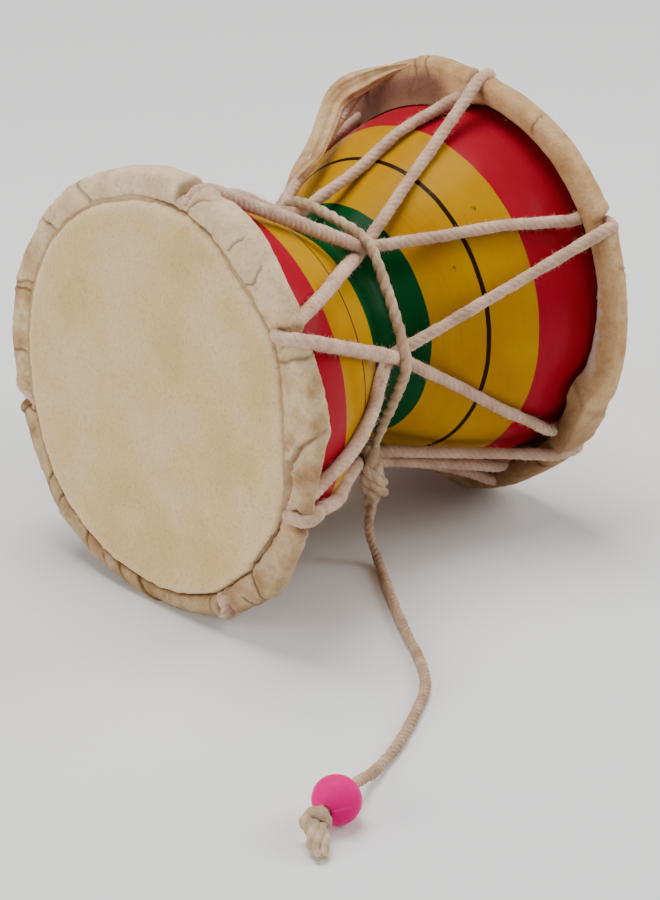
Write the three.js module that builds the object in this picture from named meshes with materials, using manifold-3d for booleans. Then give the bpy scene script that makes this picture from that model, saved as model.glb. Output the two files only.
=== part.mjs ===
// A small two-headed hourglass rattle drum, lying on its side on its two hoops.
// Millimetres, +Z up. The drum's axis runs along X, with the near head towards -X.
// The viewer stands on the -Y side. Angles round the drum are in degrees, from the
// top towards the viewer.
import * as THREE from 'three';
import { mergeVertices } from 'three/addons/utils/BufferGeometryUtils.js';
import Module from 'manifold-3d';

const wasm = await Module();
wasm.setup();

// Clearance between pieces that touch on the real drum.
const FIT_GAP = 0.3;

// Length and turned wooden shell.
const HALF_LENGTH = 64.2;
const RIM_RADIUS = 54.2;
const WAIST_RADIUS = 29.5;
const RIM_WALL = 5;
const WAIST_WALL = 8;
// Outline of one half: share of the half length, share of the gain from waist to rim.
const SHELL_OUTLINE = [
	[0, 0], [0.07, 0.035], [0.185, 0.19], [0.4, 0.57], [0.62, 0.835], [0.83, 0.96], [1, 1],
];

// Skin heads, each wrapped round its hoop.
const SKIN = 1.2;
const SKIN_SLACK = 0.3;
const SKIN_EDGE_WIDTH = 1.8;
const SKIN_EDGE_DROP = 1.4;
const SKIN_CROWN = 0.15;
const HOOP_WIDTH = 6.6;
const HOOP_DEPTH = 8.8;
const HOOP_DROP = 2.2;
const HOOP_ROUND = 0.9;
const HOOP_CROWN = 0.3;
const GROOVE_WIDTH = 1.6;
const GROOVE_DEPTH = 3.4;
const NEAR_LEAN = 2.9;
const FAR_LEAN = 1.6;
const FLAT_DEPTH = 0.9;

// Cotton lacing rope: seven loops on each hoop, drawn together in seven crossings.
const ROPE_DIAMETER = 4.2;
const LOOP_SPREAD = 3;
const CROSSING_LIFT = 0.6;
const CROSSING_PINCH = 3.1;
const LEG_CLEARANCE = 3;
const NEAR_LOOPS = [11, 58.5, 108.5, 151, 203, 252, 309];
const FAR_LOOPS = [4, 59, 127, 151, 205, 264, 319];
const CROSSINGS = [
	{ angle: -12, shift: 0 }, { angle: 30, shift: 0 }, { angle: 85, shift: -3 }, { angle: 146, shift: 0 },
	{ angle: 197, shift: 0 }, { angle: 247, shift: 0 }, { angle: 297, shift: 0 },
];
// Each point of a loop: share of the way from the hole to the outside of the hoop, share
// of the way from the hoop's back to over its face, share of the spread.
const LOOP_SHAPE = [
	[0, -0.045, -1], [0, 0.39, -1], [0.035, 0.785, -0.8], [0.215, 0.965, -0.4],
	[0.51, 1, 0], [0.9, 0.865, 0.4], [1, 0.525, 0.8], [0.965, 0.07, 1],
];

// Waist cord, its knot, and the striker that hangs from it.
const CORD_DIAMETER = 3.4;
const WRAP_SPREAD = 3.5;
const KNOT_RADIUS = 4.6;
const KNOT_HEIGHT = 13;
const KNOT_OUT = 1.15;
const KNOT_HANG = [-1.6, 0, -4.9];
const KNOT_ENTRY = 0.4;
const STRIKER_DIAMETER = 2.8;
const BEAD_DIAMETER = 12.6;
const BORE_GAP = 0.45;
const TAIL_KNOT_RADIUS = 3.6;
const TAIL_DIAMETER = 4.2;
// Free striker cord, from under the knot down to the ground and along it to the bead:
// points chosen by eye, with their heights above the ground. The last but one is the
// middle of the bead.
const STRIKER_ROUTE = [
	[-3.2, -24.8, 15.9], [-4.4, -25, 11.5], [-4.5, -25.8, 7.4], [-4.6, -27.8, 3.8], [-6.6, -31.6, 1.7],
	[-11.1, -37.8, 1.5], [-20.2, -50.5, 1.5], [-27.2, -60.5, 1.5], [-32.3, -68.3, 1.5], [-38.4, -77.9, 1.5],
	[-45.3, -86.5, 1.5], [-50.5, -91.1, 1.5], [-56.4, -94.9, 1.5], [-65.7, -100.3, 1.5], [-75.1, -105.1, 1.5],
	[-82.4, -108.2, 1.6], [-90, -111.4, 2.6], [-97, -114.2, 4.6], [-103.6, -116.5, 6.2], [-110.3, -118.6, 6.4],
	[-116.4, -120.5, 6.4],
];
// Frayed tail past the end knot.
const TAIL_ROUTE = [[-121, -122, 4.6], [-123.4, -125.4, 3.2], [-126.2, -129, 2.4]];

// Facets.
const SHELL_SIDES = 38;
const SHELL_STEPS = 6;
const SHELL_CROWDING = 1.15;
const OUTLINE_STEPS = 36;
const HEAD_SIDES = 36;
const ROPE_SIDES = 6;
const LEG_STEPS = 4;
const CORD_SIDES = 8;
const STRIKER_STEPS = 26;
const BALL_SIDES = 12;
const BALL_ROWS = 8;
const BEAD_SIDES = 16;
const BEAD_ROWS = 7;
const WELD = 1e-4;
const CUTTER_SIZE = 500;

// Colours.
const WOOD_PAINT = 0xc89b0a;
const HIDE = 0xcdbd9f;
const ROPE_COTTON = 0xc9bbaa;
const CORD_COTTON = 0xc4b08e;
const STRIKER_COTTON = 0xb59f80;
const BEAD_PINK = 0xee3c8c;

const ropeRadius = ROPE_DIAMETER / 2;
const cordRadius = CORD_DIAMETER / 2;
const strikerRadius = STRIKER_DIAMETER / 2;
const shellHalf = HALF_LENGTH - SKIN - FIT_GAP;
const skinInside = RIM_RADIUS + FIT_GAP + SKIN_SLACK;
const skinOutside = skinInside + SKIN;
const hoopInside = skinOutside + GROOVE_WIDTH / 2;
const hoopOutside = hoopInside + HOOP_WIDTH;
const hoopFace = HALF_LENGTH - HOOP_DROP;
const hoopBack = hoopFace - HOOP_DEPTH;
const hoopMiddle = hoopFace - HOOP_DEPTH / 2;
const restHeight = hoopOutside - FLAT_DEPTH;

const NEAR = { side: -1, lean: THREE.MathUtils.degToRad(NEAR_LEAN), loops: NEAR_LOOPS };
const FAR = { side: 1, lean: THREE.MathUtils.degToRad(FAR_LEAN), loops: FAR_LOOPS };

// Solids and their joins.
function toSolid(geometry) {
	const bare = geometry.clone();
	bare.deleteAttribute('normal');
	bare.deleteAttribute('uv');
	const merged = mergeVertices(bare, WELD);
	const index = merged.index.array;
	const kept = [];
	const corners = 3;
	for (let i = 0; i < index.length; i += corners) {
		const [a, b, c] = [index[i], index[i + 1], index[i + 2]];
		if (a !== b && b !== c && c !== a) {
			kept.push(a, b, c);
		}
	}
	return new wasm.Manifold(new wasm.Mesh({
		numProp: corners,
		vertProperties: new Float32Array(merged.attributes.position.array),
		triVerts: new Uint32Array(kept),
	}));
}

function toGeometry(solid) {
	const mesh = solid.getMesh();
	const geometry = new THREE.BufferGeometry();
	geometry.setAttribute('position', new THREE.BufferAttribute(new Float32Array(mesh.vertProperties), 3));
	geometry.setIndex(new THREE.BufferAttribute(new Uint32Array(mesh.triVerts), 1));
	geometry.computeVertexNormals();
	return geometry;
}

const fuse = (solids) => solids.reduce((all, solid) => all.add(solid));

// A point of the drum: distance from the axis, station along X, angle round the axis.
function drumPoint(radius, x, angle) {
	const turn = THREE.MathUtils.degToRad(angle);
	return new THREE.Vector3(x, -radius * Math.sin(turn), radius * Math.cos(turn));
}

// The heads and the sawn ends of the shell lean a little, about the middle of their hoop.
function leaned(point, head) {
	const pivot = new THREE.Vector3(head.side * hoopMiddle, 0, 0);
	return point.clone().sub(pivot).applyAxisAngle(new THREE.Vector3(0, 1, 0), head.lean).add(pivot);
}

function leanedGeometry(geometry, head) {
	geometry.translate(-head.side * hoopMiddle, 0, 0);
	geometry.rotateY(head.lean);
	return geometry.translate(head.side * hoopMiddle, 0, 0);
}

const headPoint = (head, radius, out, angle) => leaned(drumPoint(radius, head.side * out, angle), head);

// A lathe turned to stand round the X axis, with its profile's height pointing out.
function turned(profile, sides, head = FAR) {
	const corners = profile.map(([radius, out]) => new THREE.Vector2(radius, out));
	return new THREE.LatheGeometry(corners, sides).rotateZ(-head.side * Math.PI / 2);
}

// Directions that the sections of a cord are squared to, so that none of them twists and
// cords meeting end to end share their corners.
const roundDrum = (point) => new THREE.Vector3(0, -point.z, point.y);
const alongDrum = () => new THREE.Vector3(1, 0, 0);
const acrossStriker = () => new THREE.Vector3(1, -1, 0);

// A round cord with a step at each point of its path. The points before and after the
// path only set the directions of its two ends.
function cord(points, radius, sides, squareTo, before = points[0], after = points.at(-1)) {
	const path = new THREE.CatmullRomCurve3(points, false, 'centripetal');
	path.getUtoTmapping = (share) => share;
	path.computeFrenetFrames = () => {
		const all = [before, ...points, after];
		const frames = { tangents: [], normals: [], binormals: [] };
		points.forEach((point, i) => {
			const tangent = all[i + 2].clone().sub(all[i]).normalize();
			const aside = squareTo(point);
			const normal = aside.addScaledVector(tangent, -aside.dot(tangent)).normalize();
			frames.tangents.push(tangent);
			frames.normals.push(normal);
			frames.binormals.push(tangent.clone().cross(normal));
		});
		return frames;
	};
	const section = new THREE.Shape();
	for (let i = 0; i < sides; i++) {
		const turn = i / sides * 2 * Math.PI;
		const [x, y] = [radius * Math.cos(turn), radius * Math.sin(turn)];
		if (i === 0) section.moveTo(x, y);
		else section.lineTo(x, y);
	}
	return new THREE.ExtrudeGeometry(section, { steps: points.length - 1, extrudePath: path });
}

// Outside radius of the shell at a station along the axis.
const shellCurve = new THREE.SplineCurve(SHELL_OUTLINE.map(([along, gain]) => new THREE.Vector2(
	along * shellHalf,
	WAIST_RADIUS + gain * (RIM_RADIUS - WAIST_RADIUS),
)));
const shellPoints = shellCurve.getPoints(OUTLINE_STEPS);

function shellRadius(x) {
	const out = Math.abs(x);
	const next = shellPoints.findIndex((point) => point.x >= out);
	if (next < 1) return next === 0 ? WAIST_RADIUS : RIM_RADIUS;
	const [a, b] = [shellPoints[next - 1], shellPoints[next]];
	return THREE.MathUtils.mapLinear(out, a.x, b.x, a.y, b.y);
}

// The slab beyond one sawn end of the shell.
function beyondEnd(head) {
	const slab = new THREE.BoxGeometry(CUTTER_SIZE, CUTTER_SIZE, CUTTER_SIZE);
	return toSolid(leanedGeometry(slab.translate(head.side * (shellHalf + CUTTER_SIZE / 2), 0, 0), head));
}

// Wooden shell: one turned piece, hollow right through its waist and open at both ends.
function shellGeometry() {
	const spare = RIM_RADIUS * Math.tan(Math.max(NEAR.lean, FAR.lean)) + SKIN;
	const end = shellHalf + spare;
	const outer = [];
	const inner = [];
	for (let i = -SHELL_STEPS; i <= SHELL_STEPS; i++) {
		const share = Math.sign(i) * Math.abs(i / SHELL_STEPS) ** SHELL_CROWDING;
		const x = share * shellHalf;
		const wall = THREE.MathUtils.lerp(WAIST_WALL, RIM_WALL, Math.abs(share));
		outer.push([shellRadius(x), x]);
		inner.push([shellRadius(x) - wall, x]);
	}
	const rims = (radius) => [[radius, -end], [radius, end]];
	const [outerStart, outerEnd] = rims(RIM_RADIUS);
	const [innerStart, innerEnd] = rims(RIM_RADIUS - RIM_WALL);
	const thin = (list) => list.filter((point, i) => i % 2 === 0);
	const outside = [outerStart, ...outer, outerEnd];
	const inside = [innerEnd, ...thin(inner).reverse(), innerStart];
	const blank = toSolid(turned([...outside, ...inside, outerStart], SHELL_SIDES));
	return toGeometry(blank.subtract(beyondEnd(NEAR)).subtract(beyondEnd(FAR)));
}

// Half-way crossing points, reached by a lower and an upper strand.
const crossingLow = WAIST_RADIUS + FIT_GAP + ropeRadius + CROSSING_LIFT;
const crossingHigh = crossingLow + CROSSING_PINCH;

function crossingPoint(index, high) {
	const { angle, shift } = CROSSINGS[index % CROSSINGS.length];
	return drumPoint(high ? crossingHigh : crossingLow, shift, angle);
}

// A taut leg between two points, resting on the shell where that stands in its way.
function leg(from, to) {
	const points = [];
	for (let i = 1; i < LEG_STEPS; i++) {
		const point = from.clone().lerp(to, i / LEG_STEPS);
		const distance = Math.hypot(point.y, point.z);
		const push = Math.max(1, (shellRadius(point.x) + LEG_CLEARANCE) / distance);
		points.push(new THREE.Vector3(point.x, point.y * push, point.z * push));
	}
	return points;
}

// One loop of rope round a hoop: up through the hole by the skin, over the hoop's face
// and down its outside.
function loopPoints(head, index) {
	const angle = head.loops[index % head.loops.length];
	const hole = RIM_RADIUS + FIT_GAP + SKIN_SLACK + ropeRadius;
	const outside = hoopOutside + FIT_GAP + ropeRadius;
	const over = hoopFace + FIT_GAP + ropeRadius;
	return LOOP_SHAPE.map(([across, along, turn]) => headPoint(
		head,
		THREE.MathUtils.lerp(hole, outside, across),
		THREE.MathUtils.lerp(hoopBack, over, along),
		angle + turn * LOOP_SPREAD,
	));
}

const LOOP_CREST = 4;

// One strand: from the crest of a loop on one hoop, down its outside, over the waist and
// up through the hole of the next loop on the other hoop, to that loop's crest.
function strandPoints(from, to, index) {
	const start = loopPoints(from, index).slice(LOOP_CREST);
	const end = loopPoints(to, index + 1).slice(0, LOOP_CREST + 1);
	const middle = crossingPoint(index + 1, from === NEAR);
	const down = leg(start.at(-1), middle);
	const up = leg(middle, end[0]);
	return [...start, ...down, middle, ...up, ...end];
}

// Strands meet end to end on their crests.
function strand(from, to, index) {
	const before = loopPoints(from, index)[LOOP_CREST - 1];
	const after = loopPoints(to, index + 1)[LOOP_CREST + 1];
	return toSolid(cord(strandPoints(from, to, index), ropeRadius, ROPE_SIDES, roundDrum, before, after));
}

function lacingGeometry() {
	const there = CROSSINGS.map((crossing, index) => strand(NEAR, FAR, index));
	const back = CROSSINGS.map((crossing, index) => strand(FAR, NEAR, index));
	return toGeometry(fuse([...there, ...back]));
}

// The room that each loop of rope needs through and round a head.
function loopRoom(head, index) {
	const points = loopPoints(head, index);
	const past = 0.2;
	const before = points[0].clone().lerp(crossingPoint(index, head === FAR), past);
	const after = points.at(-1).clone().lerp(crossingPoint(index + 1, head === NEAR), past);
	const acrossFlats = (ropeRadius + FIT_GAP) / Math.cos(Math.PI / ROPE_SIDES);
	return toSolid(cord([before, ...points, after], acrossFlats, ROPE_SIDES, roundDrum));
}

// The ground that the drum lies on.
function ground() {
	const block = new THREE.BoxGeometry(CUTTER_SIZE, CUTTER_SIZE, CUTTER_SIZE);
	return toSolid(block.translate(0, 0, -restHeight - CUTTER_SIZE / 2));
}

// A head: the raised playing skin, the groove round it and the skin-wrapped hoop.
function headGeometry(head) {
	const crown = hoopOutside - HOOP_WIDTH * HOOP_CROWN;
	const grooveFloor = HALF_LENGTH - GROOVE_DEPTH;
	const profile = [
		[0, HALF_LENGTH - SKIN],
		[skinInside, HALF_LENGTH - SKIN],
		[skinInside, grooveFloor - SKIN],
		[hoopInside, hoopBack + HOOP_ROUND],
		[hoopInside + HOOP_WIDTH / 2, hoopBack],
		[hoopOutside - HOOP_ROUND, hoopBack + HOOP_ROUND],
		[hoopOutside, hoopMiddle],
		[hoopOutside - HOOP_ROUND, hoopFace - HOOP_ROUND],
		[crown, hoopFace],
		[hoopInside + HOOP_ROUND, hoopFace - FIT_GAP],
		[skinOutside + GROOVE_WIDTH / 2, grooveFloor],
		[skinOutside, grooveFloor],
		[skinOutside - SKIN_CROWN, HALF_LENGTH - SKIN_EDGE_DROP],
		[skinOutside - SKIN_EDGE_WIDTH, HALF_LENGTH - SKIN_CROWN],
		[0, HALF_LENGTH],
	];
	const blank = toSolid(leanedGeometry(turned(profile, HEAD_SIDES, head), head));
	const rooms = head.loops.map((angle, index) => loopRoom(head, index));
	return toGeometry(blank.subtract(fuse(rooms)).subtract(ground()));
}

// Waist cord: drawn round the crossings, with both ends in its knot.
const cordRound = crossingHigh + ropeRadius + FIT_GAP + cordRadius;
const KNOT_CROSSING = 3;
const knotAngle = CROSSINGS[KNOT_CROSSING].angle;
const knotHang = new THREE.Vector3(...KNOT_HANG);
const knotCentre = drumPoint(cordRound + KNOT_OUT, 0, knotAngle).add(knotHang);

function waistCordGeometry() {
	const points = [];
	for (let i = 0; i <= CROSSINGS.length; i++) {
		const here = CROSSINGS[(KNOT_CROSSING + i) % CROSSINGS.length];
		const turns = KNOT_CROSSING + i >= CROSSINGS.length ? 360 : 0;
		for (const offset of [-WRAP_SPREAD, WRAP_SPREAD]) {
			points.push(drumPoint(cordRound, here.shift, here.angle + turns + offset));
		}
	}
	const intoKnot = knotCentre.clone().addScaledVector(knotHang, -KNOT_ENTRY);
	const half = points.length / 2;
	const first = [intoKnot, ...points.slice(1, half + 1)];
	const second = [...points.slice(half, -1), intoKnot];
	const halves = [
		cord(first, cordRadius, CORD_SIDES, alongDrum, intoKnot, points[half + 1]),
		cord(second, cordRadius, CORD_SIDES, alongDrum, points[half - 1], intoKnot),
	];
	const ball = new THREE.SphereGeometry(KNOT_RADIUS, BALL_SIDES, BALL_ROWS);
	ball.scale(1, 1, KNOT_HEIGHT / 2 / KNOT_RADIUS);
	ball.translate(...knotCentre);
	return toGeometry(fuse([...halves, ball].map(toSolid)));
}

const routeVectors = (route) => route.map((point) => new THREE.Vector3(...point));
const strikerCurve = new THREE.CatmullRomCurve3(routeVectors(STRIKER_ROUTE), false, 'centripetal');

function strikerGeometry() {
	return cord(strikerCurve.getSpacedPoints(STRIKER_STEPS), strikerRadius, CORD_SIDES, acrossStriker);
}

// Turns a piece made round the Y axis so that it stands along a direction.
function placed(geometry, direction, centre) {
	const turn = new THREE.Quaternion().setFromUnitVectors(new THREE.Vector3(0, 1, 0), direction);
	return geometry.applyQuaternion(turn).translate(...centre);
}

const strikerEnd = new THREE.Vector3(...STRIKER_ROUTE.at(-1));
const beadCentre = new THREE.Vector3(...STRIKER_ROUTE.at(-2));
const beadDirection = strikerEnd.clone().sub(beadCentre).normalize();

// Round moulded bead with its bore, threaded on the cord.
function beadGeometry() {
	const radius = BEAD_DIAMETER / 2;
	const bore = strikerRadius + BORE_GAP;
	const half = Math.acos(bore / radius);
	const profile = [];
	for (let i = 0; i <= BEAD_ROWS; i++) {
		const turn = THREE.MathUtils.lerp(-half, half, i / BEAD_ROWS);
		profile.push(new THREE.Vector2(radius * Math.cos(turn), radius * Math.sin(turn)));
	}
	profile.push(profile[0].clone());
	return placed(new THREE.LatheGeometry(profile, BEAD_SIDES), beadDirection, beadCentre);
}

// Knot that stops the bead, with the cord's frayed tail.
function tailKnotGeometry() {
	const centre = strikerEnd.clone().addScaledVector(beadDirection, TAIL_KNOT_RADIUS + FIT_GAP);
	centre.z = TAIL_ROUTE[0][2];
	const ball = new THREE.SphereGeometry(TAIL_KNOT_RADIUS, BALL_SIDES, BALL_ROWS).translate(...centre);
	const tailPoints = [centre, ...routeVectors(TAIL_ROUTE.slice(1))];
	const tail = cord(tailPoints, TAIL_DIAMETER / 2, CORD_SIDES, acrossStriker);
	return toGeometry(toSolid(ball).add(toSolid(tail)));
}

const drum = new THREE.Group();
drum.position.z = restHeight;

function piece(name, geometry, color, roughness) {
	const material = new THREE.MeshStandardMaterial({ color, roughness, metalness: 0 });
	const mesh = new THREE.Mesh(geometry, material);
	mesh.name = name;
	return mesh;
}

drum.add(piece('wooden_shell', shellGeometry(), WOOD_PAINT, 0.25));
drum.add(piece('near_head', headGeometry(NEAR), HIDE, 0.8));
drum.add(piece('far_head', headGeometry(FAR), HIDE, 0.8));
drum.add(piece('lacing_rope', lacingGeometry(), ROPE_COTTON, 0.95));
drum.add(piece('waist_cord', waistCordGeometry(), CORD_COTTON, 0.95));

// The origin lies on the ground, under the middle of the laced drum.
const middle = new THREE.Box3().setFromObject(drum, true).getCenter(new THREE.Vector3());
const group = new THREE.Group();
group.position.set(-middle.x, -middle.y, 0);
group.add(drum);
group.add(piece('striker_cord', strikerGeometry(), STRIKER_COTTON, 0.95));
group.add(piece('striker_bead', beadGeometry(), BEAD_PINK, 0.3));
group.add(piece('striker_end_knot', tailKnotGeometry(), CORD_COTTON, 0.95));
export default group;
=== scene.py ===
# %% [markdown]
# This lesson dresses a small laced hourglass drum. The solids of the drum come in as a
# fixed frame, and every piece made here is laid over them: the hide heads, the painted
# shell, the cotton rope, the cord at the waist and the striker with its bead.

# %% Load the frame
import math

import bmesh
import bpy
import numpy as np
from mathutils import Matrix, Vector


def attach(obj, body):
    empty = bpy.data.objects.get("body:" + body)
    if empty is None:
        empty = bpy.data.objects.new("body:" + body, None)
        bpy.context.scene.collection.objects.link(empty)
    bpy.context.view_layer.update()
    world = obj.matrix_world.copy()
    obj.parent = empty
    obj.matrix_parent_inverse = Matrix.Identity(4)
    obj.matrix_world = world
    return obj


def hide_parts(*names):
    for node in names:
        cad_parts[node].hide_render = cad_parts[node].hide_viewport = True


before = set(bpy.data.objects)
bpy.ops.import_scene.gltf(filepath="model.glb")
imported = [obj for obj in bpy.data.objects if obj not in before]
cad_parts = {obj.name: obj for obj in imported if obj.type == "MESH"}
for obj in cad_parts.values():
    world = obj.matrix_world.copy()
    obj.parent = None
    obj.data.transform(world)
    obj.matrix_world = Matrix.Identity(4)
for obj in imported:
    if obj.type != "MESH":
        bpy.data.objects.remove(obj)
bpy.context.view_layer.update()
print("nodes:", sorted(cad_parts))

# %% [markdown]
# All lengths are worked out in millimetres, on the drum's own axis: x runs along it, the
# near head lies towards -x, and angles go round from the top towards the viewer. One
# function then moves the points to where the frame stands and turns them to metres.

# %% Places on the drum
DRUM_SHIFT = np.array([0.57, -1.99, 62.5])
GROUND_SHIFT = np.array([0.57, -1.99, 0.0])
HALF_LENGTH = 64.2
RIM_RADIUS = 54.2
HOOP_OUTSIDE = 63.4
HOOP_FACE = 62.0
HOOP_MIDDLE = 57.6
HEADS = {
    "near": {"side": -1, "lean": 2.9},
    "far": {"side": 1, "lean": 1.6},
}


def in_frame(points, shift=DRUM_SHIFT):
    return (np.asarray(points, float) + shift) / 1000


def round_drum(radius, x, degrees):
    turn = np.radians(degrees)
    radius, x, turn = np.broadcast_arrays(radius, x, turn)
    return np.stack([x, -radius * np.sin(turn), radius * np.cos(turn)], axis=-1)


def leaned(points, head):
    """Leans points about the middle of a head's hoop, as the real head sits askew."""
    lean = math.radians(head["lean"])
    pivot = np.array([head["side"] * HOOP_MIDDLE, 0, 0])
    turn = np.array([
        [math.cos(lean), 0, math.sin(lean)],
        [0, 1, 0],
        [-math.sin(lean), 0, math.cos(lean)],
    ])
    return (points - pivot) @ turn.T + pivot


print("axis height of the drum:", DRUM_SHIFT[2], "mm")

# %% [markdown]
# The camera comes first, because every later choice is judged through it. It stands a
# little above the drum and looks down by 25 degrees, with a long lens.

# %% Camera
CAMERA_PLACE = (-0.5521, -0.5653, 0.3931)
CAMERA_LOOK = (0.6375, 0.6442, -0.4227)
lens = bpy.data.cameras.new("view_lens")
lens.sensor_fit = "VERTICAL"
lens.sensor_height = 36
lens.lens = 120
lens.clip_start = 0.01
camera = bpy.data.objects.new("view_camera", lens)
camera.location = CAMERA_PLACE
camera.rotation_euler = Vector(CAMERA_LOOK).to_track_quat("-Z", "Y").to_euler()
bpy.context.scene.collection.objects.link(camera)
bpy.context.scene.camera = camera
print("camera stands", round(Vector(CAMERA_PLACE).length, 3), "m from the origin")

# %% [markdown]
# Colours are picked as sRGB hex values and turned to linear light by one function. One
# more adds a node, and one sets or links a node's inputs, where a node given as a value
# is linked by its first output in use. Every material is made with these.

# %% Helpers for materials
def linear(colour):
    channels = [int(colour[i:i + 2], 16) / 255 for i in (0, 2, 4)]
    return [c / 12.92 if c <= 0.04045 else ((c + 0.055) / 1.055) ** 2.4 for c in channels] + [1]


def set_inputs(node, inputs):
    for socket, value in inputs.items():
        if isinstance(value, bpy.types.Node):
            value = next(output for output in value.outputs if output.enabled)
        if isinstance(value, bpy.types.NodeSocket):
            node.id_data.links.new(value, node.inputs[socket])
        else:
            node.inputs[socket].default_value = value


def add_node(material, kind, inputs=None, stops=(), **settings):
    node = material.node_tree.nodes.new("ShaderNode" + kind)
    for name, value in settings.items():
        setattr(node, name, value)
    for number, (place, colour) in enumerate(stops):
        ramp = node.color_ramp.elements
        stop = ramp[number] if number < 2 else ramp.new(place)
        stop.position, stop.color = place, linear(colour)
    set_inputs(node, inputs or {})
    return node


def new_material(name, inputs):
    material = bpy.data.materials.new(name)
    material.use_nodes = True
    shader = material.node_tree.nodes["Principled BSDF"]
    set_inputs(shader, inputs)
    return material, shader, add_node(material, "TexCoord").outputs["Object"]


def per(millimetres):
    """Noise scale that gives one patch in so many millimetres."""
    return 1000 / millimetres


print("helpers ready")

# %% [markdown]
# Everything laced or knotted here is cotton cord. A cord is a path first: a smooth curve
# through a few chosen points, walked in even steps. The curve is the same kind that the
# solids use, so each cord lies where its solid lies.

# %% Paths
def even_steps(points, step, closed=False):
    """A smooth curve through the points, cut into steps of one length."""
    points = np.asarray(points, float)
    ring = np.vstack([points, points[:3]]) if closed else points
    if closed:
        ring = np.vstack([points[-1:], ring])
    else:
        ring = np.vstack([2 * ring[0] - ring[1], ring, 2 * ring[-1] - ring[-2]])
    gaps = np.sqrt(np.linalg.norm(np.diff(ring, axis=0), axis=1)) + 1e-9
    fine = []
    pieces = len(points) if closed else len(points) - 1
    for i in range(1, pieces + 1):
        before, here, after = gaps[i - 1], gaps[i], gaps[i + 1]
        p0, p1, p2, p3 = ring[i - 1:i + 3]
        m1 = (p1 - p0) / before - (p2 - p0) / (before + here) + (p2 - p1) / here
        m2 = (p2 - p1) / here - (p3 - p1) / (here + after) + (p3 - p2) / after
        m1, m2 = m1 * here, m2 * here
        t = np.linspace(0, 1, 40, endpoint=False)[:, None]
        fine.append((2 * t**3 - 3 * t**2 + 1) * p1 + (t**3 - 2 * t**2 + t) * m1
                    + (3 * t**2 - 2 * t**3) * p2 + (t**3 - t**2) * m2)
    fine = np.vstack(fine + [points[:1] if closed else points[-1:]])
    walked = np.concatenate([[0], np.cumsum(np.linalg.norm(np.diff(fine, axis=0), axis=1))])
    count = max(4, round(walked[-1] / step))
    stops = np.linspace(0, walked[-1], count + 1)
    even = np.stack([np.interp(stops, walked, fine[:, axis]) for axis in range(3)], axis=1)
    return (even[:-1] if closed else even), walked[-1]


def unit(vectors):
    return vectors / np.linalg.norm(vectors, axis=-1, keepdims=True)


def frames_along(path, closed=False):
    """Directions of a path, and two square to them that never twist."""
    along = unit(np.roll(path, -1, axis=0) - np.roll(path, 1, axis=0) if closed else np.gradient(path, axis=0))
    side = np.zeros_like(path)
    start = np.eye(3)[np.argmin(np.abs(along[0]))]
    side[0] = unit(start - along[0] * (start @ along[0]))
    for i in range(1, len(path)):
        side[i] = unit(side[i - 1] - along[i] * (side[i - 1] @ along[i]))
    return along, side, np.cross(along, side)


print("path helpers ready")

# %% [markdown]
# Noise gives the handmade unevenness. It is made here from numbers that depend only on
# the place and a seed, so the drum comes out the same each time.

# %% Unevenness in space
def soft_noise(points, size, seed):
    """Smooth values from -1 to 1, with one swell per size, in millimetres."""
    scaled = np.asarray(points, float) / size + 100 + seed * 7.31
    cell = np.floor(scaled).astype(np.int64)
    part = scaled - cell
    part = part * part * (3 - 2 * part)
    total = np.zeros(scaled.shape[:-1])
    for corner in np.ndindex(2, 2, 2):
        x, y, z = (cell[..., axis] + corner[axis] for axis in range(3))
        mixed = (x * 374761393 + y * 668265263 + z * 2147483647 + seed * 1274126177) & 0xFFFFFFFF
        mixed = ((mixed ^ (mixed >> 13)) * 1103515245) & 0xFFFFFFFF
        value = ((mixed ^ (mixed >> 16)) & 0xFFFF) / 32767.5 - 1
        weight = np.prod([part[..., a] if corner[a] else 1 - part[..., a] for a in range(3)], axis=0)
        total += value * weight
    return total


def step_up(low, high, values):
    share = np.clip((values - low) / (high - low), 0, 1)
    return share * share * (3 - 2 * share)


def between(low, rise_end, fall_start, high, values):
    return step_up(low, rise_end, values) * (1 - step_up(fall_start, high, values))


print("noise at one place:", round(float(soft_noise(np.array([1.0, 2.0, 3.0]), 5, 1)), 3))

# %% [markdown]
# A mesh is made from rows of points. Each row is joined to the next, and a closed piece gets a point at each end or
# comes back to its first row. Extra values, such as how much dirt and painted shade a place gets, travel with the
# points so that a material can read them.

# %% Meshes from rows of points
def new_piece(name, points, faces):
    mesh = bpy.data.meshes.new(name)
    mesh.from_pydata(points.tolist(), [], faces)
    mesh.shade_smooth()
    piece = bpy.data.objects.new(name, mesh)
    bpy.context.scene.collection.objects.link(piece)
    return piece


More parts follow.
